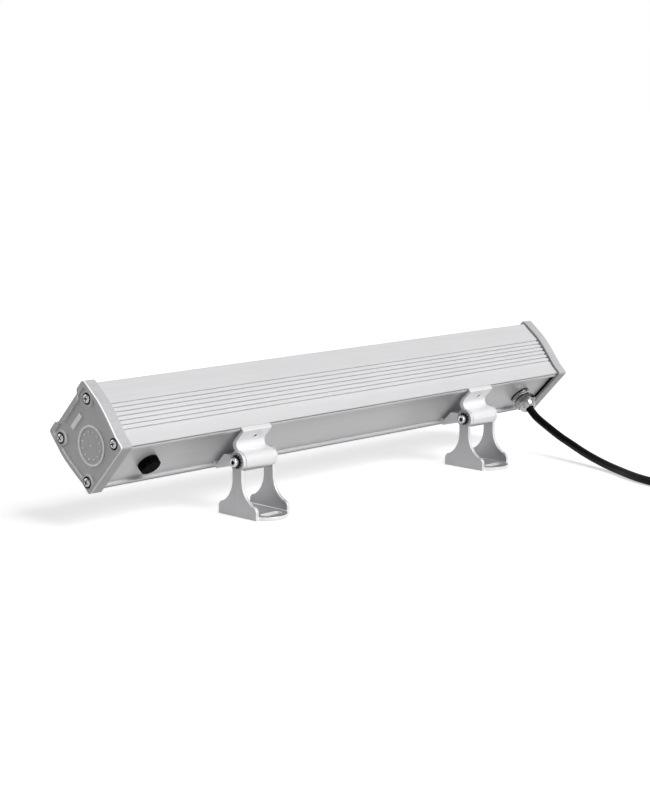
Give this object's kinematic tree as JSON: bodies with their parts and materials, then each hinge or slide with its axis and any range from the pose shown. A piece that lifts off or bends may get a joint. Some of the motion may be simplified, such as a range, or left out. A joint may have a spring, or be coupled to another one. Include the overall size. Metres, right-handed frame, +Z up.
{
  "type": "outdoor wall washer light",
  "caption": "Outdoor wall washer light: ribbed aluminium housing with glass-fronted LED optics, sliding rail clamps, swivelling slotted feet, cable gland and vent.",
  "frame": {"origin": "on the floor, midway between the two feet, at the centre of their fixing slots", "axes": "+X along the light towards the cable gland, +Z up, +Y the way that the light leans"},
  "size_m": [0.5163, 0.3199, 0.1093],
  "materials": {
    "anodised_housing": "pale silver anodised extrusion, satin",
    "cast_cap": "silver grey powder coat, fine texture",
    "black_silicone": "matt",
    "grey_silicone": "satin",
    "stainless_screw": "machined",
    "toughened_glass": "polished with ground edges",
    "white_board": "white solder mask on aluminium",
    "led_phosphor": "phosphor under a clear dome",
    "black_holder": "moulded, satin",
    "clear_lens": "clear moulded optic",
    "red_lead": "insulation",
    "driver_shell": "grey anodised",
    "driver_lid": "grey anodised, blank",
    "green_board": "solder mask",
    "component_body": "moulded and taped",
    "thermal_pad": "soft silicone pad",
    "core_jacket": "core insulation",
    "nickel_brass": "nickel plated, polished",
    "black_rubber": "matt",
    "black_nylon": "moulded, fine grain",
    "white_membrane": "expanded membrane",
    "cable_jacket": "smooth rubber jacket, satin",
    "tinned_copper": "tinned",
    "anodised_clamp": "pale silver anodised extrusion, satin",
    "black_steel_screw": "blackened steel",
    "brushed_foot": "anodised sheet, brushed",
    "stainless_bolt": "turned and rolled",
    "stainless_washer": "stamped"
  },
  "bodies": {
    "light": {"housing": "anodised_housing", "left_end_cap": "cast_cap", "right_end_cap": "cast_cap", "left_cap_gasket": "black_silicone", "right_cap_gasket": "black_silicone", "left_cap_screws": "stainless_screw", "right_cap_screws": "stainless_screw", "glass": "toughened_glass", "glass_seal": "grey_silicone", "led_board": "white_board", "led_emitters": "led_phosphor", "lens_holders": "black_holder", "lenses": "clear_lens", "board_screws": "stainless_screw", "led_leads": "red_lead", "driver_case": "driver_shell", "driver_lid": "driver_lid", "driver_board": "green_board", "driver_components": "component_body", "driver_pad": "thermal_pad", "mains_cores": "core_jacket", "gland_body": "nickel_brass", "gland_seal_ring": "black_rubber", "gland_bush": "black_rubber", "gland_cap_nut": "nickel_brass", "gland_locknut": "nickel_brass", "vent_body": "black_nylon", "vent_cover": "black_nylon", "vent_membrane": "white_membrane", "vent_seal_ring": "black_rubber", "vent_nut": "black_nylon", "cable": "cable_jacket", "cable_coil": "cable_jacket", "coil_tie": "black_nylon", "cable_end_cores": "core_jacket", "core_ferrules": "tinned_copper"},
    "left_clamp": {"left_clamp": "anodised_clamp", "left_lock_screw": "black_steel_screw"},
    "right_clamp": {"right_clamp": "anodised_clamp", "right_lock_screw": "black_steel_screw"},
    "left_foot": {"left_foot": "brushed_foot", "left_swivel_bolt": "stainless_bolt", "left_toothed_washer": "stainless_washer", "left_plain_washer": "stainless_washer", "left_swivel_nut": "stainless_bolt"},
    "right_foot": {"right_foot": "brushed_foot", "right_swivel_bolt": "stainless_bolt", "right_toothed_washer": "stainless_washer", "right_plain_washer": "stainless_washer", "right_swivel_nut": "stainless_bolt"}
  },
  "joints": [
    {"name": "left_clamp_slide", "type": "slide", "parent": "light", "child": "left_clamp", "axis": [1, 0, 0], "range_m": [-0.058, 0.08]},
    {"name": "left_foot_tilt", "type": "hinge", "parent": "left_clamp", "child": "left_foot", "pos_m": [-0.128, 0, 0.0413], "axis": [1, 0, 0], "range_deg": [-148, 45]},
    {"name": "right_clamp_slide", "type": "slide", "parent": "light", "child": "right_clamp", "axis": [1, 0, 0], "range_m": [-0.08, 0.035]},
    {"name": "right_foot_tilt", "type": "hinge", "parent": "right_clamp", "child": "right_foot", "pos_m": [0.128, 0, 0.0413], "axis": [1, 0, 0], "range_deg": [-148, 45]}
  ]
}
